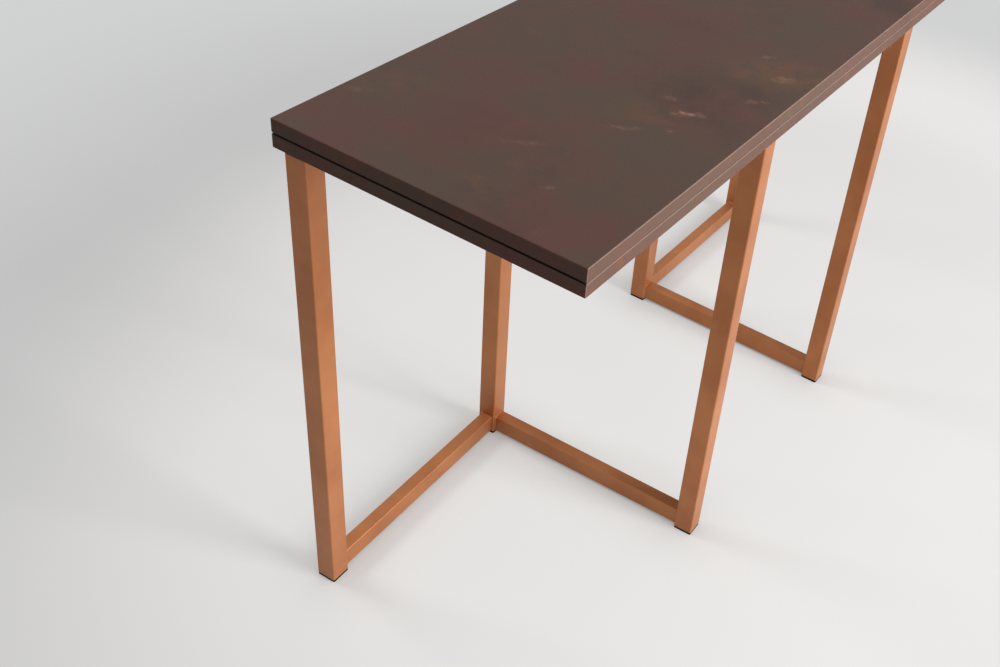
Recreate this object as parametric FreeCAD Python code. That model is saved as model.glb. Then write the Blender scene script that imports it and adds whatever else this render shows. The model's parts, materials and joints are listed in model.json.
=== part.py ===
import FreeCAD
import Part
import math
import os

# Extending console table: two boards that open like a book, on two swivelling L-shaped leg frames.
# Origin: bottom centre of the closed table. +X towards the front long side, +Y towards the far end, +Z up.

# Top boards
table_height = 750.0
top_length = 1268.0
top_width = 416.0
leaf_thickness = 18.0
leaf_gap = 1.0                    # daylight between the closed boards
edging_thickness = 2.0
arris_radius = 1.5
arris_limit_share = 0.9           # most of the edging's thickness that an arris may take

# Bumpers between the boards
bumper_count = 4
bumper_diameter = 8.0
bumper_recess = 0.8
bumper_fit = 0.1
bumper_front_distance = 30.0
bumper_end_distance = 60.0

# Hinges on the rear edge
hinge_count = 3
hinge_length = 60.0
hinge_end_distance = 150.0        # end of the top to the middle of the outer hinge
hinge_line_offset = 0.4           # pin's axis behind the rear edge
hinge_plate_width = 24.0
hinge_plate_thickness = 1.5
hinge_mortise_fit = 0.2
knuckle_diameter = 6.0
knuckle_count = 5
knuckle_gap = 0.3
knuckle_pocket_clearance = 0.5
pin_diameter = 3.0
pin_fit = 0.05
hinge_screws_per_plate = 3
hinge_screw_pitch = 20.0
hinge_screw_diameter = 3.0
hinge_screw_head_diameter = 6.0
hinge_screw_head_height = 1.3
hinge_screw_length = 12.0

# Leg frames
leg_width = 30.0
leg_wall = 1.5
leg_corner_radius = 2.0
leg_rear_inset = 2.3              # rear edge of the top to the legs
leg_front_inset = 3.7
leg_end_inset = 4.0
rail_width = 20.0
rail_height = 30.0
rail_wall = 1.2
rail_corner_radius = 1.5
near_frame_turn = 1.6             # degrees that the near frame stands past square
far_frame_turn = 0.0
open_turn = 45.0                  # degrees from square to fully open
closed_stop_play = 0.5            # degrees between the near frame and its closed stop

# Leg ends
foot_height = 4.0
foot_side_inset = 0.2
foot_plug_height = 15.0
foot_plug_fit = 0.1
leg_cap_thickness = 3.0
leg_cap_fit = 0.05
corner_cap_thickness = 8.0
pad_width = 24.0
pad_corner_radius = 3.0
pad_running_gap = 0.2

# Swivel of each frame
pivot_plate_thickness = 2.5
pivot_plate_length = 76.0
pivot_plate_rear = 12.0           # pivot to the plate's rear edge
pivot_plate_front = 46.0
pivot_plate_corner_radius = 4.0
pivot_bolt_diameter = 8.0
pivot_bolt_head_diameter = 16.0
pivot_bolt_head_height = 3.0
pivot_bolt_fit = 0.05
pivot_head_gap = 0.1
pivot_head_pocket_clearance = 1.0
pivot_washer_thickness = 1.0
pivot_washer_diameter = 24.0
hex_socket_width = 5.0
hex_socket_depth = 2.0
plate_screw_spread = 56.0         # between the two screws of a row
plate_screw_row_distance = 34.0   # from the pivot's row to the front row
plate_screw_diameter = 4.0
plate_screw_head_diameter = 8.0
plate_screw_head_height = 2.0
plate_screw_length = 14.0

# Stops for the frames' swing
stop_arm_distance = 120.0         # pivot to the middle of a stop block
stop_length = 34.0
stop_width = 16.0
stop_height = 14.0
stop_corner_radius = 3.0
stop_clearance = 0.3
stop_screw_pitch = 18.0
stop_screw_diameter = 4.0
stop_screw_head_diameter = 8.0
stop_screw_head_height = 2.4
stop_screw_length = 24.0

# Common to all screws
screw_fit = 0.05
screw_recess_width_share = 0.6    # cross recess across the head
screw_recess_slot_share = 0.16
screw_recess_depth_share = 0.5

# Overrun of every cut
over = 1.0

# Heights
fold_bottom_z = table_height - leaf_thickness
fixed_top_z = fold_bottom_z - leaf_gap
fixed_bottom_z = fixed_top_z - leaf_thickness
plate_bottom_z = fixed_bottom_z - pivot_plate_thickness
leg_top_z = plate_bottom_z - pivot_washer_thickness
leg_bottom_z = foot_height

# Plan
knuckle_radius = knuckle_diameter / 2
rear_overhang = hinge_line_offset + knuckle_radius
rear_x = -(top_width - rear_overhang) / 2
front_x = rear_x + top_width
near_y = -top_length / 2
far_y = top_length / 2
hinge_x = rear_x - hinge_line_offset
hinge_z = fixed_top_z + leaf_gap / 2
frame_reach = top_width - leg_rear_inset - leg_front_inset
arm_pitch = frame_reach - leg_width
pivot_x = rear_x + leg_rear_inset + leg_width / 2
pivot_end_distance = leg_end_inset + frame_reach - leg_width / 2
near_pivot = FreeCAD.Vector(pivot_x, near_y + pivot_end_distance, 0)
far_pivot = FreeCAD.Vector(pivot_x, far_y - pivot_end_distance, 0)
leg_bore = leg_width - 2 * leg_wall

UP = FreeCAD.Vector(0, 0, 1)
DOWN = FreeCAD.Vector(0, 0, -1)
ALONG = FreeCAD.Vector(0, 1, 0)
HOME = FreeCAD.Vector(0, 0, 0)


def block(x0, x1, y0, y1, z0, z1):
    return Part.makeBox(x1 - x0, y1 - y0, z1 - z0, FreeCAD.Vector(x0, y0, z0))


def rounded_block(x0, x1, y0, y1, z0, z1, radius):
    """A block with its four upright edges rounded."""
    box = block(x0, x1, y0, y1, z0, z1)
    upright = [e for e in box.Edges if abs(e.tangentAt(e.FirstParameter).z) > math.cos(math.pi / 4)]
    return box.makeFillet(radius, upright)


def disc(radius, x, y, z0, z1):
    return Part.makeCylinder(radius, z1 - z0, FreeCAD.Vector(x, y, z0))


def evenly(first, last, count):
    """Places from first to last, ends included."""
    if count == 1:
        return [(first + last) / 2]
    return [first + (last - first) * i / (count - 1) for i in range(count)]


def save(name, *solids):
    """Writes one node: a single solid, or a group of separate ones."""
    shape = solids[0] if len(solids) == 1 else Part.makeCompound(list(solids))
    shape.exportStep(f"parts/{name}.step")


def screw_blank(diameter, head_diameter, head_height, length, fit):
    """Countersunk wood screw, head face at the origin and shank along -Z, grown by fit all round."""
    head_r = head_diameter / 2 + fit
    shank_r = diameter / 2 + fit
    tip_z = -length - fit
    profile = [
        FreeCAD.Vector(0, 0, 0),
        FreeCAD.Vector(head_r, 0, 0),
        FreeCAD.Vector(shank_r, 0, -head_height - fit),
        FreeCAD.Vector(shank_r, 0, tip_z + shank_r),
        FreeCAD.Vector(0, 0, tip_z),
    ]
    face = Part.Face(Part.makePolygon(profile + profile[:1]))
    return face.revolve(HOME, UP, 360)


def screw(diameter, head_diameter, head_height, length):
    """The screw itself, with a cross recess in its head."""
    body = screw_blank(diameter, head_diameter, head_height, length, 0)
    half = head_diameter * screw_recess_width_share / 2
    slot = head_diameter * screw_recess_slot_share / 2
    depth = head_height * screw_recess_depth_share
    body = body.cut(block(-half, half, -slot, slot, -depth, over))
    return body.cut(block(-slot, slot, -half, half, -depth, over))


def placed(shape, point, turn=0.0, facing_down=False):
    """A copy of a screw or its hole at point, its head facing up or down."""
    copy = shape.copy()
    if facing_down:
        copy.rotate(HOME, FreeCAD.Vector(1, 0, 0), 180)
    copy.rotate(HOME, UP, turn)
    copy.translate(point)
    return copy


# Hinges: plates let into the facing sides of the two boards, knuckles behind the rear edge

hinge_middles = evenly(near_y + hinge_end_distance, far_y - hinge_end_distance, hinge_count)
knuckle_length = (hinge_length - (knuckle_count - 1) * knuckle_gap) / knuckle_count
plate_start_x = hinge_x + knuckle_radius + knuckle_gap
plate_end_x = hinge_x + hinge_plate_width
hinge_screw_x = (plate_start_x + plate_end_x) / 2
hinge_screw_span = (hinge_screws_per_plate - 1) * hinge_screw_pitch
hinge_screw_sizes = (hinge_screw_diameter, hinge_screw_head_diameter, hinge_screw_head_height, hinge_screw_length)
hinge_screw = screw(*hinge_screw_sizes)
hinge_screw_hole = screw_blank(*hinge_screw_sizes, screw_fit)


def hinge_screw_points(middle_y, face_z):
    places = evenly(middle_y - hinge_screw_span / 2, middle_y + hinge_screw_span / 2, hinge_screws_per_plate)
    return [FreeCAD.Vector(hinge_screw_x, y, face_z) for y in places]


def along_y(radius, y0, y1):
    """A cylinder on the hinge line."""
    return Part.makeCylinder(radius, y1 - y0, FreeCAD.Vector(hinge_x, y0, hinge_z), ALONG)


def hinge_plate(middle_y, fixed):
    """One half of a hinge: the fixed half has the odd knuckles, the folding half the even ones."""
    y0 = middle_y - hinge_length / 2
    face_z = fixed_top_z if fixed else fold_bottom_z
    inner_z = face_z - hinge_plate_thickness if fixed else face_z + hinge_plate_thickness
    z0 = min(face_z, inner_z)
    z1 = max(face_z, inner_z)
    plate = block(plate_start_x, plate_end_x, y0, y0 + hinge_length, z0, z1)
    for i in range(0 if fixed else 1, knuckle_count, 2):
        start = y0 + i * (knuckle_length + knuckle_gap)
        end = start + knuckle_length
        neck = block(hinge_x, plate_start_x, start, end, z0, z1)
        plate = plate.fuse([along_y(knuckle_radius, start, end), neck])
    plate = plate.cut(along_y(pin_diameter / 2 + pin_fit, y0 - over, y0 + hinge_length + over))
    for point in hinge_screw_points(middle_y, face_z):
        plate = plate.cut(placed(hinge_screw_hole, point, facing_down=not fixed))
    return plate.removeSplitter().Solids[0]


def hinge_pockets(fixed):
    """What a board and its rear edging lose to the hinges: plate mortises, knuckle pockets, pilot holes."""
    pockets = []
    for middle_y in hinge_middles:
        y0 = middle_y - hinge_length / 2 - hinge_mortise_fit
        y1 = middle_y + hinge_length / 2 + hinge_mortise_fit
        pockets.append(along_y(knuckle_radius + knuckle_pocket_clearance, y0, y1))
        face_z = fixed_top_z if fixed else fold_bottom_z
        z0 = face_z - hinge_plate_thickness if fixed else face_z - leaf_gap / 2
        z1 = face_z + leaf_gap / 2 if fixed else face_z + hinge_plate_thickness
        pockets.append(block(hinge_x, plate_end_x + hinge_mortise_fit, y0, y1, z0, z1))
        for point in hinge_screw_points(middle_y, face_z):
            pockets.append(placed(hinge_screw_hole, point, facing_down=not fixed))
    return pockets


def hinge_screws(fixed):
    face_z = fixed_top_z if fixed else fold_bottom_z
    points = [p for y in hinge_middles for p in hinge_screw_points(y, face_z)]
    return [placed(hinge_screw, p, facing_down=not fixed) for p in points]


def hinge_pin(middle_y):
    return along_y(pin_diameter / 2, middle_y - hinge_length / 2, middle_y + hinge_length / 2)


# Swivel plates under the fixed board, one to each frame

plate_screw_sizes = (plate_screw_diameter, plate_screw_head_diameter, plate_screw_head_height, plate_screw_length)
plate_screw = screw(*plate_screw_sizes)
plate_screw_hole = screw_blank(*plate_screw_sizes, screw_fit)


def plate_screw_points(pivot):
    rows = (0, plate_screw_row_distance)
    sides = (-plate_screw_spread / 2, plate_screw_spread / 2)
    return [FreeCAD.Vector(pivot.x + dx, pivot.y + dy, plate_bottom_z) for dx in rows for dy in sides]


def pivot_plate(pivot):
    half = pivot_plate_length / 2
    plate = rounded_block(
        pivot.x - pivot_plate_rear, pivot.x + pivot_plate_front, pivot.y - half, pivot.y + half,
        plate_bottom_z, fixed_bottom_z, pivot_plate_corner_radius)
    bore_r = pivot_bolt_diameter / 2 + pivot_bolt_fit
    plate = plate.cut(disc(bore_r, pivot.x, pivot.y, plate_bottom_z - over, fixed_bottom_z + over))
    for point in plate_screw_points(pivot):
        plate = plate.cut(placed(plate_screw_hole, point, facing_down=True))
    return plate


def pivot_head_pocket(pivot):
    """Room in the fixed board for the head of a pivot bolt."""
    radius = pivot_bolt_head_diameter / 2 + pivot_head_pocket_clearance
    depth = pivot_head_gap + pivot_bolt_head_height + pivot_head_pocket_clearance
    return disc(radius, pivot.x, pivot.y, fixed_bottom_z - over, fixed_bottom_z + depth)


# Stop blocks under the fixed board: each meets a side of the cross arm's upper rail

stop_screw_sizes = (stop_screw_diameter, stop_screw_head_diameter, stop_screw_head_height, stop_screw_length)
stop_screw = screw(*stop_screw_sizes)
stop_screw_hole = screw_blank(*stop_screw_sizes, screw_fit)
stop_bottom_z = fixed_bottom_z - stop_height
stop_side_offset = rail_width / 2 + stop_clearance + stop_width / 2
closed_limit = near_frame_turn + closed_stop_play


def stop_places(hand):
    """(turn of the arm, side of the arm) at the two limits; hand is 1 for the near frame, -1 for the far one."""
    return [(hand * closed_limit, hand), (-hand * open_turn, -hand)]


def stop_screw_points(pivot, turn, side):
    points = []
    for shift in (-stop_screw_pitch / 2, stop_screw_pitch / 2):
        point = FreeCAD.Vector(stop_arm_distance + shift, side * stop_side_offset, stop_bottom_z)
        spin = FreeCAD.Rotation(UP, turn)
        points.append(spin.multVec(point) + pivot)
    return points


def stop_block(pivot, turn, side):
    middle = side * stop_side_offset
    body = rounded_block(
        stop_arm_distance - stop_length / 2, stop_arm_distance + stop_length / 2,
        middle - stop_width / 2, middle + stop_width / 2, stop_bottom_z, fixed_bottom_z, stop_corner_radius)
    body.rotate(HOME, UP, turn)
    body.translate(pivot)
    for point in stop_screw_points(pivot, turn, side):
        body = body.cut(placed(stop_screw_hole, point, turn, facing_down=True))
    return body


# Boards and their edge bands

arris = min(arris_radius, edging_thickness * arris_limit_share)
bumper_x = front_x - bumper_front_distance
bumper_bottom_z = fixed_top_z - bumper_recess


def board(z0):
    e = edging_thickness
    return block(rear_x + e, front_x - e, near_y + e, far_y - e, z0, z0 + leaf_thickness)


def is_long_on(edge, outer_x):
    """True for an edge along Y in the plane x = outer_x."""
    a = edge.Vertexes[0].Point
    b = edge.Vertexes[1].Point
    on_plane = abs(a.x - outer_x) + abs(b.x - outer_x) < arris
    return on_plane and abs(a.y - b.y) > leaf_thickness + edging_thickness


def long_band(outer_x, inner_x, z0):
    """Band on a long side, its two outer arrises rounded."""
    e = edging_thickness
    x0 = min(outer_x, inner_x)
    x1 = max(outer_x, inner_x)
    band = block(x0, x1, near_y + e, far_y - e, z0, z0 + leaf_thickness)
    outer = [k for k in band.Edges if is_long_on(k, outer_x)]
    return band.makeFillet(arris, outer)


def end_band(outer_y, inner_y, z0):
    """Band across an end, covering the long bands' ends: every arris but those on its inner face is rounded."""
    y0 = min(outer_y, inner_y)
    y1 = max(outer_y, inner_y)
    band = block(rear_x, front_x, y0, y1, z0, z0 + leaf_thickness)
    shown = []
    for edge in band.Edges:
        ends = [v.Point.y for v in edge.Vertexes]
        if max(abs(y - inner_y) for y in ends) > arris:
            shown.append(edge)
    return band.makeFillet(arris, shown)


def edge_bands(z0):
    e = edging_thickness
    return [
        long_band(front_x, front_x - e, z0),
        long_band(rear_x, rear_x + e, z0),
        end_band(near_y, near_y + e, z0),
        end_band(far_y, far_y - e, z0),
    ]


def less_pockets(solid, pockets):
    """The solid without those pockets that reach it."""
    reached = [p for p in pockets if solid.BoundBox.intersect(p.BoundBox)]
    return solid.cut(reached) if reached else solid


def bumper_places():
    return evenly(near_y + bumper_end_distance, far_y - bumper_end_distance, bumper_count)


fixed_pockets = hinge_pockets(True)
for middle in bumper_places():
    pocket_r = bumper_diameter / 2 + bumper_fit
    fixed_pockets.append(disc(pocket_r, bumper_x, middle, bumper_bottom_z, fixed_top_z + over))
for pivot, hand in ((near_pivot, 1), (far_pivot, -1)):
    fixed_pockets.append(pivot_head_pocket(pivot))
    for point in plate_screw_points(pivot):
        fixed_pockets.append(placed(plate_screw_hole, point, facing_down=True))
    for turn, side in stop_places(hand):
        for point in stop_screw_points(pivot, turn, side):
            fixed_pockets.append(placed(stop_screw_hole, point, turn, facing_down=True))

fold_pockets = hinge_pockets(False)


# Leg frames, drawn square with the corner leg on the origin: end arm along -Y, cross arm along +X

def tube(x0, x1, y0, y1, z0, z1, wall, radius, axis):
    """Square tube with rounded outer edges along axis (0, 1 or 2 for X, Y or Z) and a plain bore."""
    low = [x0, y0, z0]
    high = [x1, y1, z1]
    outer = block(x0, x1, y0, y1, z0, z1)
    run = []
    for edge in outer.Edges:
        way = edge.Vertexes[1].Point - edge.Vertexes[0].Point
        if abs(way[axis]) > max(abs(way[k]) for k in range(3) if k != axis):
            run.append(edge)
    outer = outer.makeFillet(radius, run)
    for k in range(3):
        grow = over if k == axis else -wall
        low[k] -= grow
        high[k] += grow
    return outer.cut(block(low[0], high[0], low[1], high[1], low[2], high[2]))


def leg(x, y):
    h = leg_width / 2
    return tube(x - h, x + h, y - h, y + h, leg_bottom_z, leg_top_z, leg_wall, leg_corner_radius, 2)


def end_rail(z0):
    h = rail_width / 2
    y0 = -arm_pitch + leg_width / 2
    y1 = -leg_width / 2
    return tube(-h, h, y0, y1, z0, z0 + rail_height, rail_wall, rail_corner_radius, 1)


def cross_rail(z0):
    h = rail_width / 2
    x0 = leg_width / 2
    x1 = arm_pitch - leg_width / 2
    return tube(x0, x1, -h, h, z0, z0 + rail_height, rail_wall, rail_corner_radius, 0)


def cap(x, y, thickness):
    """Plate that closes the top of a leg."""
    h = leg_bore / 2 - leg_cap_fit
    return block(x - h, x + h, y - h, y + h, leg_top_z - thickness, leg_top_z)


def slide_pad(x, y):
    h = pad_width / 2
    top_z = fixed_bottom_z - pad_running_gap
    return rounded_block(x - h, x + h, y - h, y + h, leg_top_z, top_z, pad_corner_radius)


def foot(x, y):
    """Plastic plug: a thin sole under the tube and a stub inside it."""
    s = leg_width / 2 - foot_side_inset
    sole = rounded_block(x - s, x + s, y - s, y + s, 0, foot_height, leg_corner_radius)
    p = leg_bore / 2 - foot_plug_fit
    stub = block(x - p, x + p, y - p, y + p, foot_height, foot_height + foot_plug_height)
    return sole.fuse(stub).removeSplitter().Solids[0]


def pivot_bolt():
    """Flat-headed bolt: down through the plate and washer into the corner leg's threaded cap."""
    head_z = fixed_bottom_z + pivot_head_gap
    top_z = head_z + pivot_bolt_head_height
    shank = disc(pivot_bolt_diameter / 2, 0, 0, leg_top_z - corner_cap_thickness, head_z)
    head = disc(pivot_bolt_head_diameter / 2, 0, 0, head_z, top_z)
    bolt = shank.fuse(head).removeSplitter().Solids[0]
    corner_r = hex_socket_width / 2 / math.cos(math.pi / 6)
    corners = [FreeCAD.Vector(corner_r, 0, top_z)]
    for i in range(1, 6):
        corners.append(FreeCAD.Rotation(UP, 60 * i).multVec(corners[0]))
    socket = Part.Face(Part.makePolygon(corners + corners[:1])).extrude(DOWN * hex_socket_depth)
    return bolt.cut(socket)


def pivot_washer():
    ring = disc(pivot_washer_diameter / 2, 0, 0, leg_top_z, plate_bottom_z)
    return ring.cut(disc(pivot_bolt_diameter / 2 + pivot_bolt_fit, 0, 0, leg_top_z - over, plate_bottom_z + over))


def corner_cap():
    bore_r = pivot_bolt_diameter / 2 + pivot_bolt_fit
    bored = disc(bore_r, 0, 0, leg_top_z - corner_cap_thickness - over, leg_top_z + over)
    return cap(0, 0, corner_cap_thickness).cut(bored)


def frame_pieces():
    end_place = (0, -arm_pitch)
    side_place = (arm_pitch, 0)
    top_rail_z = leg_top_z - rail_height
    return {
        "corner_leg": [leg(0, 0)],
        "end_leg": [leg(*end_place)],
        "side_leg": [leg(*side_place)],
        "end_rail": [end_rail(leg_bottom_z)],
        "cross_rail": [cross_rail(leg_bottom_z)],
        "end_top_rail": [end_rail(top_rail_z)],
        "cross_top_rail": [cross_rail(top_rail_z)],
        "corner_cap": [corner_cap()],
        "leg_caps": [cap(*end_place, leg_cap_thickness), cap(*side_place, leg_cap_thickness)],
        "slide_pads": [slide_pad(*end_place), slide_pad(*side_place)],
        "feet": [foot(0, 0), foot(*end_place), foot(*side_place)],
        "pivot_bolt": [pivot_bolt()],
        "pivot_washer": [pivot_washer()],
    }


def stood(solid, pivot, hand, turn):
    """A frame's piece in its place: the far frame mirrors the near one, and each is turned about its pivot."""
    piece = solid if hand > 0 else solid.mirror(HOME, ALONG)
    piece = piece.copy()
    piece.rotate(HOME, UP, turn)
    piece.translate(pivot)
    return piece


os.makedirs("parts", exist_ok=True)

save("fixed_leaf", less_pockets(board(fixed_bottom_z), fixed_pockets))
save("fixed_leaf_edging", *[less_pockets(b, fixed_pockets) for b in edge_bands(fixed_bottom_z)])
save("fold_leaf", less_pockets(board(fold_bottom_z), fold_pockets))
save("fold_leaf_edging", *[less_pockets(b, fold_pockets) for b in edge_bands(fold_bottom_z)])
save("leaf_bumpers", *[disc(bumper_diameter / 2, bumper_x, y, bumper_bottom_z, fold_bottom_z) for y in bumper_places()])
save("hinge_fixed_plates", *[hinge_plate(y, True) for y in hinge_middles])
save("hinge_fold_plates", *[hinge_plate(y, False) for y in hinge_middles])
save("hinge_pins", *[hinge_pin(y) for y in hinge_middles])
save("hinge_fixed_screws", *hinge_screws(True))
save("hinge_fold_screws", *hinge_screws(False))

for name, pivot, hand, turn in (("near", near_pivot, 1, near_frame_turn), ("far", far_pivot, -1, -far_frame_turn)):
    save(f"{name}_pivot_plate", pivot_plate(pivot))
    save(f"{name}_pivot_plate_screws", *[placed(plate_screw, p, facing_down=True) for p in plate_screw_points(pivot)])
    places = stop_places(hand)
    save(f"{name}_stop_blocks", *[stop_block(pivot, *place) for place in places])
    stop_screws = []
    for stop_turn, side in places:
        for point in stop_screw_points(pivot, stop_turn, side):
            stop_screws.append(placed(stop_screw, point, stop_turn, facing_down=True))
    save(f"{name}_stop_screws", *stop_screws)
    for piece_name, solids in frame_pieces().items():
        save(f"{name}_{piece_name}", *[stood(s, pivot, hand, turn) for s in solids])
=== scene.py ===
import json
import math

import bpy
from mathutils import Matrix, Quaternion, Vector


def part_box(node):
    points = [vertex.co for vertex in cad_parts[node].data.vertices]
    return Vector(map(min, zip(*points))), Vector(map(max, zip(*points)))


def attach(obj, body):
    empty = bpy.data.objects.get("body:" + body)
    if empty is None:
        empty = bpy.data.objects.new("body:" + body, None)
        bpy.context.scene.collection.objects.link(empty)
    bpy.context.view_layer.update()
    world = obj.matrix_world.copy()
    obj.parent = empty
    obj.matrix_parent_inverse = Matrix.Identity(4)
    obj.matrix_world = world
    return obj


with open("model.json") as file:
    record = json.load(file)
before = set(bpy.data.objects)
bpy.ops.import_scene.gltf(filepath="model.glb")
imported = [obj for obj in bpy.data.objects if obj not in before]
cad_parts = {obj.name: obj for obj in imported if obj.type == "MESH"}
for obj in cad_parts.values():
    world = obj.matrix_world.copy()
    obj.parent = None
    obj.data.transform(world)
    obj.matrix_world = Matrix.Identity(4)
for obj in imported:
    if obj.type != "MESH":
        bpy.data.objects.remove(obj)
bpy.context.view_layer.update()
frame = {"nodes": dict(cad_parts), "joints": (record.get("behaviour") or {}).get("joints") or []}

# Leg frames
# Two frames, each an L in plan with three square legs and flat rails between them: steel tube, sawn square
# and welded, then sprayed with a satin copper lacquer that has a fine metal flake and a faint orange peel.
sides = ("near", "far")
tubes = ("corner_leg", "end_leg", "side_leg", "leg_caps",
         "end_rail", "cross_rail", "end_top_rail", "cross_top_rail")
copper_deep = (0.375, 0.135, 0.048)
copper_bright = (0.464, 0.182, 0.070)
copper_drift_size = 0.12
flake_size = 0.0011
orange_peel_size, orange_peel_depth = 0.0016, 0.00004


def feed(tree, node, sockets):
    """Links output sockets to a node's inputs, or sets them to plain values."""
    for key, value in sockets.items():
        if isinstance(value, bpy.types.NodeSocket):
            tree.links.new(value, node.inputs[key])
        else:
            node.inputs[key].default_value = value


def add(tree, kind, sockets, give=0, **settings):
    """Puts in a node with its settings, feeds its inputs and gives one of its outputs."""
    node = tree.nodes.new(kind)
    for key, value in settings.items():
        setattr(node, key, value)
    feed(tree, node, sockets)
    return node.outputs[give]


def maths(tree, operation, *values):
    """A Math node on outputs or plain numbers."""
    return add(tree, "ShaderNodeMath", dict(enumerate(values)), operation=operation)


def rising(tree, value, start, end):
    """Smooth rise from 0 at start to 1 at end."""
    return add(tree, "ShaderNodeMapRange", {
        "Value": value, "From Min": start, "From Max": end}, interpolation_type="SMOOTHSTEP")


def between(tree, mask, low, high):
    """A mask stretched to run from low to high."""
    return add(tree, "ShaderNodeMapRange", {"Value": mask, "To Min": low, "To Max": high})


def blend(tree, mask, first, second):
    """Two colours, given as triples or outputs, mixed by a mask."""
    colours = [c if isinstance(c, bpy.types.NodeSocket) else (*c, 1.0) for c in (first, second)]
    return add(tree, "ShaderNodeMix", {0: mask, 6: colours[0], 7: colours[1]}, 2, data_type="RGBA")


def new_group(kind, name, inputs, outputs):
    """A node group with its input and output sockets, each a name and a socket kind."""
    group = bpy.data.node_groups.new(name, kind)
    for key, socket in inputs.items():
        group.interface.new_socket(key, in_out="INPUT", socket_type=socket)
    for key, socket in outputs.items():
        group.interface.new_socket(key, in_out="OUTPUT", socket_type=socket)
    return group, group.nodes.new("NodeGroupInput").outputs, group.nodes.new("NodeGroupOutput")


NUMBER = "NodeSocketFloat"
VECTOR = "NodeSocketVector"

# Mask of soft patches about Size metres across, which start at the noise level Low and are full at High
clouds, given, out = new_group(
    "ShaderNodeTree", "clouds",
    {"Point": VECTOR, "Size": NUMBER, "Detail": NUMBER, "Low": NUMBER, "High": NUMBER}, {"Mask": NUMBER})
noise = add(clouds, "ShaderNodeTexNoise", {
    "Vector": given["Point"], "Scale": maths(clouds, "DIVIDE", 1.0, given["Size"]),
    "Detail": given["Detail"], "Roughness": 0.6})
feed(clouds, out, {"Mask": rising(clouds, noise, given["Low"], given["High"])})

# Normal of a fine texture, Size metres from lump to lump and Depth metres high
skin, given, out = new_group(
    "ShaderNodeTree", "skin", {"Point": VECTOR, "Size": NUMBER, "Depth": NUMBER}, {"Normal": VECTOR})
lumps = add(skin, "ShaderNodeTexNoise", {
    "Vector": given["Point"], "Scale": maths(skin, "DIVIDE", 1.0, given["Size"]), "Detail": 2.0})
relief = add(skin, "ShaderNodeBump", {"Height": lumps, "Distance": given["Depth"], "Strength": 1.0})
feed(skin, out, {"Normal": relief})


def new_material(name):
    """A node material, its tree, its Principled shader and its Object coordinates."""
    made = bpy.data.materials.new(name)
    made.use_nodes = True
    tree = made.node_tree
    return made, tree, tree.nodes["Principled BSDF"], add(tree, "ShaderNodeTexCoord", {}, "Object")


def patches(tree, point, size, low, high, detail=4.0):
    """Mask of soft patches, placed from the clouds group."""
    return add(tree, "ShaderNodeGroup", {
        "Point": point, "Size": size, "Detail": detail, "Low": low, "High": high}, node_tree=clouds)


def texture(tree, point, size, depth):
    """Normal of a fine texture, placed from the skin group."""
    return add(tree, "ShaderNodeGroup", {"Point": point, "Size": size, "Depth": depth}, node_tree=skin)


def dress(material, names):
    """Puts a material into every slot of the named CAD nodes."""
    for name in names:
        for holder in frame["nodes"][name].material_slots:
            holder.material = material


def of_both(names):
    """The names of these pieces on the near and on the far side."""
    return [f"{side}_{name}" for side in sides for name in names]


copper_lacquer, tree, shader, point = new_material("copper_lacquer")
drift = patches(tree, point, copper_drift_size, low=0.3, high=0.7, detail=3.0)
flake = patches(tree, point, flake_size, low=0.3, high=0.7, detail=1.0)
feed(tree, shader, {
    "Base Color": blend(tree, drift, copper_deep, copper_bright),
    "Roughness": between(tree, flake, 0.36, 0.48),
    "Normal": texture(tree, point, orange_peel_size, orange_peel_depth),
    "Metallic": 0.6, "Specular IOR Level": 0.3, "Coat Weight": 0.08, "Coat Roughness": 0.3})
dress(copper_lacquer, of_both(tubes))

# Weld beads
# A short run of weld joins each rail's end to a leg: up one side of the rail, across the edge that faces
# the middle of the frame and down the other side. It is lacquered with the tubes.
welded_rails = ("end_rail", "cross_rail", "end_top_rail", "cross_top_rail")
bead_radius = 0.0012
bead_start = 0.002
bead_sides = 10
ripple_pitch = 0.0018
ripple_share = 0.12
ripple_steps = 4.0
rail_corner_radius = 0.0015
rail_corner_steps = 4
joints = {joint["name"]: joint for joint in frame["joints"]}
near_turn = joints["near_swivel"]["range_deg"][1] - joints["far_swivel"]["range_deg"][1]
near_pivot = Vector(joints["near_swivel"]["pos_m"])
turned = Matrix.Rotation(math.radians(near_turn), 4, "Z")
mirrored = Matrix.Diagonal((1, -1, 1, 1))
near_from_far = Matrix.Translation(near_pivot) @ turned @ Matrix.Translation(-near_pivot) @ mirrored

GEOMETRY = "NodeSocketGeometry"

# A rippled round bead along each line of Path, with its corners rounded as the rail's are
bead, given, out = new_group(
    "GeometryNodeTree", "weld_bead",
    {"Path": GEOMETRY, "Bead Radius": NUMBER, "Corner Radius": NUMBER, "Ripple Pitch": NUMBER,
     "Ripple Share": NUMBER, "Finish": "NodeSocketMaterial"}, {"Bead": GEOMETRY})
path = add(bead, "GeometryNodeFilletCurve", {
    "Curve": given["Path"], "Radius": given["Corner Radius"], "Count": rail_corner_steps}, mode="POLY")
step = maths(bead, "DIVIDE", given["Ripple Pitch"], ripple_steps)
path = add(bead, "GeometryNodeResampleCurve", {"Curve": path, "Length": step}, mode="LENGTH")
along = add(bead, "GeometryNodeSplineParameter", {}, "Length")
along = maths(bead, "MULTIPLY", maths(bead, "DIVIDE", along, given["Ripple Pitch"]), math.tau)
swell = maths(bead, "MULTIPLY_ADD", maths(bead, "SINE", along), given["Ripple Share"], 1.0)
path = add(bead, "GeometryNodeSetCurveRadius", {"Curve": path, "Radius": swell})
section = add(bead, "GeometryNodeCurvePrimitiveCircle", {
    "Resolution": bead_sides, "Radius": given["Bead Radius"]})
run = add(bead, "GeometryNodeCurveToMesh", {"Curve": path, "Profile Curve": section, "Fill Caps": True})
run = add(bead, "GeometryNodeSetShadeSmooth", {"Geometry": run})
run = add(bead, "GeometryNodeRealizeInstances", {"Geometry": run})
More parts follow.
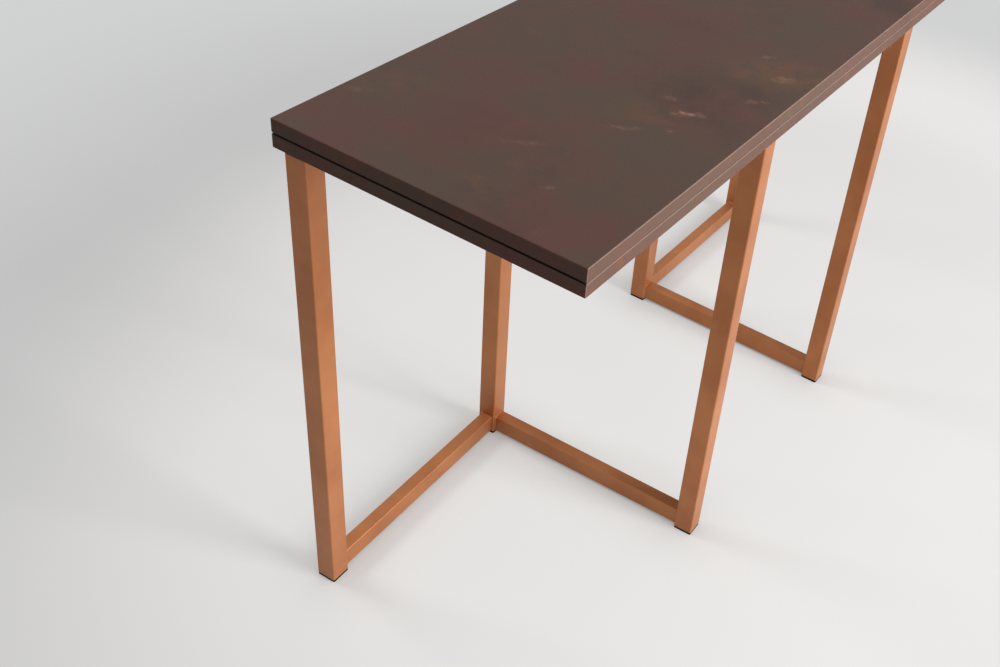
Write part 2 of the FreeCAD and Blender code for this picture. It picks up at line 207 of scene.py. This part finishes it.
run = add(bead, "GeometryNodeSetMaterial", {"Geometry": run, "Material": given["Finish"]})
feed(bead, out, {"Bead": run})


def weld_paths():
    """Corner points of the far frame's runs, each at one end of a rail."""
    found = []
    for rail in welded_rails:
        low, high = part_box(f"far_{rail}")
        along, across = (1, 0) if rail.startswith("end") else (0, 1)
        inner_z, outer_z = (low.z, high.z - bead_start) if "top" in rail else (high.z, low.z + bead_start)
        for end in (low[along], high[along]):
            corners = []
            for side, z in ((low, outer_z), (low, inner_z), (high, inner_z), (high, outer_z)):
                corner = Vector((0, 0, z))
                corner[along] = end
                corner[across] = side[across]
                corners.append(corner)
            found.append(corners)
    return found


def weld_frame(name, body, place):
    """One frame's beads as a plain mesh: the far frame's runs, put in place and riding on that frame."""
    lines = bpy.data.curves.new(name, "CURVE")
    lines.dimensions = "3D"
    for corners in weld_paths():
        line = lines.splines.new("POLY")
        line.points.add(len(corners) - 1)
        for knot, corner in zip(line.points, corners):
            knot.co = (*(place @ corner), 1.0)
    drawn = bpy.data.objects.new(name + "_paths", lines)
    bpy.context.scene.collection.objects.link(drawn)
    modifier = drawn.modifiers.new("weld_bead", "NODES")
    modifier.node_group = bead
    sizes = {"Bead Radius": bead_radius, "Corner Radius": rail_corner_radius, "Ripple Pitch": ripple_pitch,
             "Ripple Share": ripple_share, "Finish": copper_lacquer}
    for item in bead.interface.items_tree:
        if item.name in sizes:
            modifier[item.identifier] = sizes[item.name]
    grown = drawn.evaluated_get(bpy.context.evaluated_depsgraph_get())
    mesh = bpy.data.meshes.new_from_object(grown)
    bpy.data.objects.remove(drawn)
    piece = bpy.data.objects.new(name, mesh)
    bpy.context.scene.collection.objects.link(piece)
    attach(piece, body)


weld_frame("near_welds", "near_frame", near_from_far)
weld_frame("far_welds", "far_frame", Matrix.Identity(4))

# Feet and stop blocks
# Black moulded plastic with a fine spark-eroded texture: square plugs pressed into the leg tubes, and
# blocks screwed under the fixed board where a rail meets them at each end of a frame's swing.
plastic_black = (0.002, 0.002, 0.002)
plastic_scuffed = (0.008, 0.008, 0.007)
scuff_size = 0.006
spark_size, spark_depth = 0.0006, 0.00003
black_plastic, tree, shader, point = new_material("black_plastic")
scuff = patches(tree, point, scuff_size, low=0.5, high=0.75)
feed(tree, shader, {
    "Base Color": blend(tree, scuff, plastic_black, plastic_scuffed),
    "Roughness": between(tree, scuff, 0.48, 0.66),
    "Normal": texture(tree, point, spark_size, spark_depth),
    "Specular IOR Level": 0.06})
dress(black_plastic, of_both(("feet", "stop_blocks")))

# Slide pads and washers
# Natural nylon: pads on the leg tops that the boards rest on and slide over, rubbed grey in use, and a
# washer under each pivot plate.
nylon_pale = (0.74, 0.72, 0.66)
nylon_grey = (0.50, 0.47, 0.42)
nylon_rub_size = 0.003
nylon_grain_size, nylon_grain_depth = 0.0009, 0.00003
nylon, tree, shader, point = new_material("nylon")
rubbed = patches(tree, point, nylon_rub_size, low=0.5, high=0.8)
feed(tree, shader, {
    "Base Color": blend(tree, rubbed, nylon_pale, nylon_grey),
    "Roughness": between(tree, rubbed, 0.38, 0.55),
    "Normal": texture(tree, point, nylon_grain_size, nylon_grain_depth),
    "Subsurface Weight": 0.15, "Subsurface Scale": 0.002})
dress(nylon, of_both(("slide_pads", "pivot_washer")))

# Pivots and screws
# Steel plates, bolts, threaded caps and wood screws, bright zinc plated: pale grey with cloudy bluish and
# yellowish tints.
zinc_bluish = (0.52, 0.53, 0.55)
zinc_pale = (0.66, 0.66, 0.65)
zinc_yellowish = (0.64, 0.61, 0.52)
zinc_cloud_size = 0.012
zinc_tint_size = 0.030
zinc_grain_size, zinc_grain_depth = 0.0012, 0.00001
zinc, tree, shader, point = new_material("zinc")
cloud = patches(tree, point, zinc_cloud_size, low=0.35, high=0.65)
tint = patches(tree, point, zinc_tint_size, low=0.4, high=0.7)
plated = blend(tree, cloud, zinc_bluish, zinc_pale)
feed(tree, shader, {
    "Base Color": blend(tree, tint, plated, zinc_yellowish),
    "Roughness": between(tree, cloud, 0.26, 0.42),
    "Normal": texture(tree, point, zinc_grain_size, zinc_grain_depth),
    "Metallic": 1.0})
dress(zinc, of_both(("pivot_plate", "pivot_plate_screws", "stop_screws", "corner_cap", "pivot_bolt")))
dress(zinc, ["hinge_fixed_screws", "hinge_fold_screws"])

# Hinges
# Three narrow butt hinges let into the rear edges of both boards: rolled steel leaves on a pin, bronzed
# and brushed along their length, a little brighter where the finish is rubbed.
bronze_dark = (0.19, 0.15, 0.12)
bronze_light = (0.27, 0.22, 0.18)
bronze_rubbed = (0.42, 0.37, 0.31)
brush_size = 0.0007
brush_stretch = (1.0, 0.04, 1.0)
bronze_rub_size = 0.006


def vector_maths(tree, operation, *vectors, give="Vector"):
    """A Vector Math node on outputs or plain triples."""
    return add(tree, "ShaderNodeVectorMath", dict(enumerate(vectors)), give, operation=operation)


bronzed_steel, tree, shader, point = new_material("bronzed_steel")
drawn_out = vector_maths(tree, "MULTIPLY", point, brush_stretch)
brushed = patches(tree, drawn_out, brush_size, low=0.3, high=0.7, detail=2.0)
rubbed = patches(tree, point, bronze_rub_size, low=0.55, high=0.8)
bronze = blend(tree, brushed, bronze_dark, bronze_light)
feed(tree, shader, {
    "Base Color": blend(tree, rubbed, bronze, bronze_rubbed),
    "Roughness": between(tree, brushed, 0.30, 0.46),
    "Metallic": 1.0})
dress(bronzed_steel, ["hinge_fixed_plates", "hinge_fold_plates", "hinge_pins"])

# Bumpers
# Four clear soft rubber discs let into the inner face of the fixed board near its front edge. They keep
# the folded boards a little apart.
rubber_clear = (0.46, 0.44, 0.40)
rubber_hazy = (0.56, 0.54, 0.50)
haze_size = 0.003
clear_rubber, tree, shader, point = new_material("clear_rubber")
haze = patches(tree, point, haze_size, low=0.4, high=0.7)
feed(tree, shader, {
    "Base Color": blend(tree, haze, rubber_clear, rubber_hazy),
    "Roughness": between(tree, haze, 0.2, 0.35),
    "Subsurface Weight": 0.3, "Subsurface Scale": 0.002})
dress(clear_rubber, ["leaf_bumpers"])

# Boards
# Two chipboards faced on both sides with a matt laminate that imitates oxidised metal: dark brown in
# drifting tones, with stains and streaks of rust. The fixed board has a plain backing sheet underneath.
board_browns = ((0.071, 0.048, 0.035), (0.089, 0.042, 0.034), (0.053, 0.032, 0.026))
rust_glaze = (0.115, 0.056, 0.032)
rust_bright = (0.235, 0.112, 0.078)
backing_brown = (0.045, 0.034, 0.028)
chip_dark = (0.24, 0.15, 0.08)
chip_pale = (0.44, 0.31, 0.19)
brown_drift_size = 0.16
stain_size = 0.23
glaze_size = 0.07
chip_size = 0.003
facing_thickness = 0.0004
sheen_size = 0.0025
laminate_grain_size, laminate_grain_depth = 0.0022, 0.00005
smear_edge, smear_core = 0.5, 0.15
ragged_pitch = 90.0
ragged_reach = (0.016, 0.016, 0.0)
veil_break_size = 0.03
streak_break_size = 0.008
rust_turn = math.radians(34)

# Each mark's share of the board's width from the hinged edge, share of its length from the near end,
# then its own length, width and strength
rust_streaks = (
    (0.80, 0.261, 0.050, 0.014, 1.0), (0.71, 0.276, 0.026, 0.012, 0.4), (0.81, 0.222, 0.018, 0.010, 0.35),
    (0.70, 0.197, 0.070, 0.011, 0.3), (0.80, 0.425, 0.034, 0.016, 0.4), (0.91, 0.391, 0.050, 0.024, 0.45),
    (0.91, 0.330, 0.045, 0.013, 0.55), (0.56, 0.116, 0.080, 0.009, 0.22), (0.73, 0.071, 0.026, 0.010, 0.3),
    (0.05, 0.087, 0.045, 0.016, 0.3))
rust_veils = (
    (0.89, 0.400, 0.210, 0.120, 0.9), (0.72, 0.240, 0.150, 0.080, 0.5), (0.10, 0.120, 0.160, 0.090, 0.4))


def axes(tree, vector):
    """The X, Y and Z outputs of a vector."""
    node = tree.nodes.new("ShaderNodeSeparateXYZ")
    feed(tree, node, {"Vector": vector})
    return node.outputs


def product(tree, first, *others):
    """Outputs and plain numbers multiplied together."""
    for other in others:
        first = maths(tree, "MULTIPLY", first, other)
    return first


COLOUR = "NodeSocketColor"

# The laminate's ground: an olive and a red brown that drift, darker stains and a faint glaze of rust
oxidised, given, out = new_group(
    "ShaderNodeTree", "oxidised_brown",
    {"Point": VECTOR, "Olive": COLOUR, "Red": COLOUR, "Stain": COLOUR, "Glaze": COLOUR}, {"Brown": COLOUR})
red = patches(oxidised, given["Point"], brown_drift_size, low=0.35, high=0.65, detail=5.0)
stained = patches(oxidised, given["Point"], stain_size, low=0.52, high=0.78, detail=6.0)
glazed = patches(oxidised, given["Point"], glaze_size, low=0.62, high=0.85, detail=6.0)
brown = blend(oxidised, red, given["Olive"], given["Red"])
brown = blend(oxidised, stained, brown, given["Stain"])
feed(oxidised, out, {"Brown": blend(oxidised, glazed, brown, given["Glaze"])})

# Chipboard within Depth metres of the height Middle, where pockets lay it bare, and the facing outside
core, given, out = new_group(
    "ShaderNodeTree", "bare_core",
    {"Point": VECTOR, "Middle": NUMBER, "Depth": NUMBER, "Facing": COLOUR}, {"Colour": COLOUR})
from_middle = maths(core, "SUBTRACT", axes(core, given["Point"])["Z"], given["Middle"])
bare = maths(core, "LESS_THAN", maths(core, "ABSOLUTE", from_middle), given["Depth"])
chips = patches(core, given["Point"], chip_size, low=0.35, high=0.65)
chips = blend(core, chips, chip_dark, chip_pale)
feed(core, out, {"Colour": blend(core, bare, given["Facing"], chips)})

# Oval mark with soft edges, Length by Width metres, turned about Z
smear, given, out = new_group(
    "ShaderNodeTree", "smear",
    {"Point": VECTOR, "Centre": VECTOR, "Length": NUMBER, "Width": NUMBER, "Turn": NUMBER},
    {"Mask": NUMBER})
away = vector_maths(smear, "SUBTRACT", given["Point"], given["Centre"])
away = add(smear, "ShaderNodeVectorRotate", {
    "Vector": away, "Angle": given["Turn"]}, rotation_type="Z_AXIS", invert=True)
span = add(smear, "ShaderNodeCombineXYZ", {"X": given["Length"], "Y": given["Width"], "Z": 1.0})
reach = vector_maths(smear, "LENGTH", vector_maths(smear, "DIVIDE", away, span), give="Value")
feed(smear, out, {"Mask": rising(smear, reach, smear_edge, smear_core)})


def oxidised_brown(tree, point, browns):
    """The laminate's ground in its own three browns, placed from its group."""
    olive, red, stain, glaze = ((*colour, 1.0) for colour in (*browns, rust_glaze))
    return add(tree, "ShaderNodeGroup", {
        "Point": point, "Olive": olive, "Red": red, "Stain": stain, "Glaze": glaze}, node_tree=oxidised)


def marks(tree, point, low, high, shares):
    """All the smears of a list, the strongest where they meet."""
    found = 0.0
    for across, along, length, width, strength in shares:
        centre = (low.x + across * (high.x - low.x), low.y + along * (high.y - low.y), high.z)
        mark = add(tree, "ShaderNodeGroup", {
            "Point": point, "Centre": centre, "Length": length, "Width": width,
            "Turn": rust_turn}, node_tree=smear)
        found = maths(tree, "MAXIMUM", found, product(tree, mark, strength))
    return found


def rusted(tree, point, low, high, upper, ground):
    """The ground with the outer face's veils and streaks of rust, ragged at their edges."""
    jitter = add(tree, "ShaderNodeTexNoise", {
        "Vector": point, "Scale": ragged_pitch, "Detail": 3.0}, "Color")
    jitter = vector_maths(tree, "SUBTRACT", jitter, (0.5, 0.5, 0.5))
    ragged = vector_maths(tree, "MULTIPLY_ADD", jitter, ragged_reach, point)
    veil = marks(tree, ragged, low, high, rust_veils)
    veil = product(tree, veil, upper, patches(tree, point, veil_break_size, low=0.3, high=0.7))
    streak = marks(tree, ragged, low, high, rust_streaks)
    streak = product(tree, streak, upper, patches(tree, point, streak_break_size, low=0.3, high=0.65))
    return blend(tree, streak, blend(tree, veil, ground, rust_glaze), rust_bright)


def face_board(name, node, folds):
    """Finishes a board: laminate faces, rust or a backing on the outer one, chipboard in its pockets."""
    low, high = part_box(node)
    middle = (low.z + high.z) / 2
    made, tree, shader, point = new_material(name)
    ground = oxidised_brown(tree, point, board_browns)
    upper = maths(tree, "GREATER_THAN", axes(tree, point)["Z"], middle)
    if folds:
        ground = rusted(tree, point, low, high, upper, ground)
    else:
        ground = blend(tree, upper, backing_brown, ground)
    core_depth = (high.z - low.z) / 2 - facing_thickness
    sheen = patches(tree, point, sheen_size, low=0.3, high=0.7, detail=2.0)
    feed(tree, shader, {
        "Base Color": add(tree, "ShaderNodeGroup", {
            "Point": point, "Middle": middle, "Depth": core_depth, "Facing": ground}, node_tree=core),
        "Roughness": between(tree, sheen, 0.46, 0.60),
        "Normal": texture(tree, point, laminate_grain_size, laminate_grain_depth),
        "Specular IOR Level": 0.14})
    dress(made, [node])


face_board("fixed_board", "fixed_leaf", False)
face_board("folding_board", "fold_leaf", True)

# Edge bands
# Plastic strips printed to match the laminate, glued round both boards and trimmed flush. The long strips'
# arrises are painted paler than the print, a painted highlight, and at the ends the arrises by the groove
# between the boards are painted dark, a painted shade.
band_browns = ((0.092, 0.056, 0.042), (0.106, 0.053, 0.042), (0.080, 0.045, 0.037))
band_rust = (0.150, 0.058, 0.028)
# Colours of the painted highlight on the long strips' arrises and of the painted shade in the end groove
arris_highlight_paint = (0.300, 0.225, 0.190)
groove_shade_paint = (0.009, 0.007, 0.006)
fleck_size = 0.004
blotch_size = 0.035
blotch_share = 0.6
flat_from, round_from = 0.985, 0.90
arris_highlight_share = 0.42
groove_shade_reach = 0.003
gap_middle = (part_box("fixed_leaf")[1].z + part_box("fold_leaf")[0].z) / 2
edge_band, tree, shader, point = new_material("edge_band")
fleck = patches(tree, point, fleck_size, low=0.6, high=0.75, detail=3.0)
blotch = product(tree, patches(tree, point, blotch_size, low=0.52, high=0.72, detail=6.0), blotch_share)
print_and_shade_brown = blend(tree, fleck, oxidised_brown(tree, point, band_browns), rust_glaze)
print_and_shade_brown = blend(tree, blotch, print_and_shade_brown, band_rust)

# A strip's faces look along one axis, so its rounded arrises are where no axis has nearly the whole normal
facing = add(tree, "ShaderNodeTexCoord", {}, "Normal")
facing = axes(tree, vector_maths(tree, "ABSOLUTE", facing))
squarest = maths(tree, "MAXIMUM", maths(tree, "MAXIMUM", facing["X"], facing["Y"]), facing["Z"])
rounded = add(tree, "ShaderNodeMapRange", {
    "Value": squarest, "From Min": flat_from, "From Max": round_from})
on_long_strip = maths(tree, "GREATER_THAN", facing["X"], facing["Y"])
on_end_strip = maths(tree, "LESS_THAN", facing["X"], facing["Y"])
from_gap = maths(tree, "ABSOLUTE", maths(tree, "SUBTRACT", axes(tree, point)["Z"], gap_middle))
at_gap = maths(tree, "LESS_THAN", from_gap, groove_shade_reach)
# Painted shade: the end strips' rounded arrises beside the groove between the boards are painted near black
print_and_shade_brown = blend(tree, product(tree, rounded, on_end_strip, at_gap), print_and_shade_brown, groove_shade_paint)
# Painted highlight: the long strips' rounded arrises are painted paler than the print
arris_highlight = product(tree, rounded, on_long_strip, arris_highlight_share)
feed(tree, shader, {
    "Base Color": blend(tree, arris_highlight, print_and_shade_brown, arris_highlight_paint),
    "Roughness": between(tree, fleck, 0.36, 0.5),
    "Normal": texture(tree, point, laminate_grain_size, laminate_grain_depth),
    "Specular IOR Level": 0.05})
dress(edge_band, ["fixed_leaf_edging", "fold_leaf_edging"])

# Floor
# A plain pale studio floor. The camera sees half of its tone as a glowing pale background, which keeps the
# shadows faint; that glow holds a painted pool of light in an oval along the table and painted shade close
# to the legs and rails. Well away from the table it is all background.
floor_reach = 14.0
floor_grey = (0.47, 0.47, 0.47, 1.0)
bright_centre = (0.0, 0.35, 0.0)
bright_half_size = (1.25, 1.67, 1.0)
bright_core_share = 0.56
painted_pool_pale = (1.0, 0.98, 0.96)
pale_dim = (0.64, 0.642, 0.644)
pale_share = 0.49
fade_start, fade_end = 1.0, 2.0
shade_reach = 0.10
shade_share = 0.65
floor_mesh = bpy.data.meshes.new("floor")
floor_corners = [(x * floor_reach, y * floor_reach, 0.0) for x, y in ((-1, -1), (1, -1), (1, 1), (-1, 1))]
floor_mesh.from_pydata(floor_corners, [], [(0, 1, 2, 3)])
floor = bpy.data.objects.new("floor", floor_mesh)
bpy.context.scene.collection.objects.link(floor)


def seen_directly(tree):
    """1 for rays from the camera and mirrored ones, which show the background; 0 for light on the table."""
    seen = 0.0
    for ray in ("Is Camera Ray", "Is Glossy Ray", "Is Transmission Ray"):
        seen = maths(tree, "MAXIMUM", seen, add(tree, "ShaderNodeLightPath", {}, ray))
    return seen


floor_paint, tree, shader, point = new_material("floor_paint")
feed(tree, shader, {"Base Color": floor_grey, "Roughness": 0.8, "Specular IOR Level": 0.2})
# Painted pool of light: the glow is paler inside an oval along the table
oval = add(tree, "ShaderNodeMapping", {
    "Vector": point, "Location": bright_centre, "Scale": bright_half_size}, vector_type="TEXTURE")
out_of_oval = vector_maths(tree, "LENGTH", oval, give="Value")
pale = blend(tree, rising(tree, out_of_oval, bright_core_share, 1.0), painted_pool_pale, pale_dim)
distance = vector_maths(tree, "LENGTH", point, give="Value")
cover = between(tree, rising(tree, distance, fade_start, fade_end), pale_share, 1.0)
cover = product(tree, cover, seen_directly(tree))
# Painted shade: the glow darkens where the legs and rails close in the floor above it
open_sky = add(tree, "ShaderNodeAmbientOcclusion", {"Distance": shade_reach}, "AO", samples=8)
shaded = between(tree, open_sky, 1.0 - shade_share, 1.0)
painted_light_glow = add(tree, "ShaderNodeEmission", {"Color": pale, "Strength": shaded})
floor_shader = add(tree, "ShaderNodeMixShader", {0: cover, 1: shader.outputs[0], 2: painted_light_glow})
feed(tree, tree.nodes["Material Output"], {"Surface": floor_shader})
floor_mesh.materials.append(floor_paint)

# Light
# Three soft boxes, a strong one at the right, a weaker one high at the left and a faint one at the front
# right, stand in a pale room that is brighter behind the table. What the camera sees of the room is plain.
room_white = (1.0, 1.0, 1.0, 1.0)
room_front, room_back = 0.02, 0.75
front_end, back_start = -0.1, 0.9
world = bpy.data.worlds.new("room")
bpy.context.scene.world = world
world.use_nodes = True
tree = world.node_tree
backwards = axes(tree, add(tree, "ShaderNodeTexCoord", {}, "Generated"))["Y"]
room_light = between(tree, rising(tree, backwards, front_end, back_start), room_front, room_back)
lit = add(tree, "ShaderNodeBackground", {"Color": room_white, "Strength": room_light})
shown = add(tree, "ShaderNodeBackground", {"Color": (*pale_dim, 1.0), "Strength": 1.0})
room = add(tree, "ShaderNodeMixShader", {0: seen_directly(tree), 1: lit, 2: shown})
feed(tree, tree.nodes["World Output"], {"Surface": room})


def soft_box(name, place, aim, width, height, power, colour):
    """A rectangular lamp at a place, turned to its aim."""
    data = bpy.data.lights.new(name, "AREA")
    data.shape = "RECTANGLE"
    data.size = width
    data.size_y = height
    data.energy = power
    data.color = colour
    lamp = bpy.data.objects.new(name, data)
    lamp.location = place
    lamp.rotation_mode = "QUATERNION"
    lamp.rotation_quaternion = (Vector(aim) - Vector(place)).to_track_quat("-Z", "Y")
    bpy.context.scene.collection.objects.link(lamp)


soft_box("right_box", place=(3.1, 0.05, 1.75), aim=(0, 0.1, 0.5), width=1.2, height=2.9, power=214,
         colour=(1.0, 0.985, 0.97))
soft_box("left_box", place=(-3.1, -0.75, 2.9), aim=(0, 0, 0.4), width=1.3, height=1.0, power=82,
         colour=(1.0, 1.0, 1.0))
soft_box("front_box", place=(2.0, -1.7, 1.1), aim=(0.1, 0, 0.4), width=1.2, height=1.2, power=13,
         colour=(1.0, 1.0, 1.0))

# Camera
# At the photograph's place: above the near end and to its right, and a little tilted. The frame is shifted,
# because the photograph seems to be the left part of a wider one.
camera_place = Vector((0.6931, -1.4369, 1.4437))
camera_aim = Vector((0.1170, -0.1636, 0.4000))
camera_roll = math.radians(9.842)
camera_data = bpy.data.cameras.new("camera")
camera_data.sensor_width = 36.0
camera_data.lens = 43.388
camera_data.shift_x = -0.2
camera_data.shift_y = -0.0435
camera = bpy.data.objects.new("camera", camera_data)
camera.location = camera_place
camera.rotation_mode = "QUATERNION"
looking = (camera_aim - camera_place).to_track_quat("-Z", "Y")
camera.rotation_quaternion = looking @ Quaternion((0, 0, 1), camera_roll)
bpy.context.scene.collection.objects.link(camera)
bpy.context.scene.camera = camera
bpy.context.scene.view_settings.view_transform = "Standard"
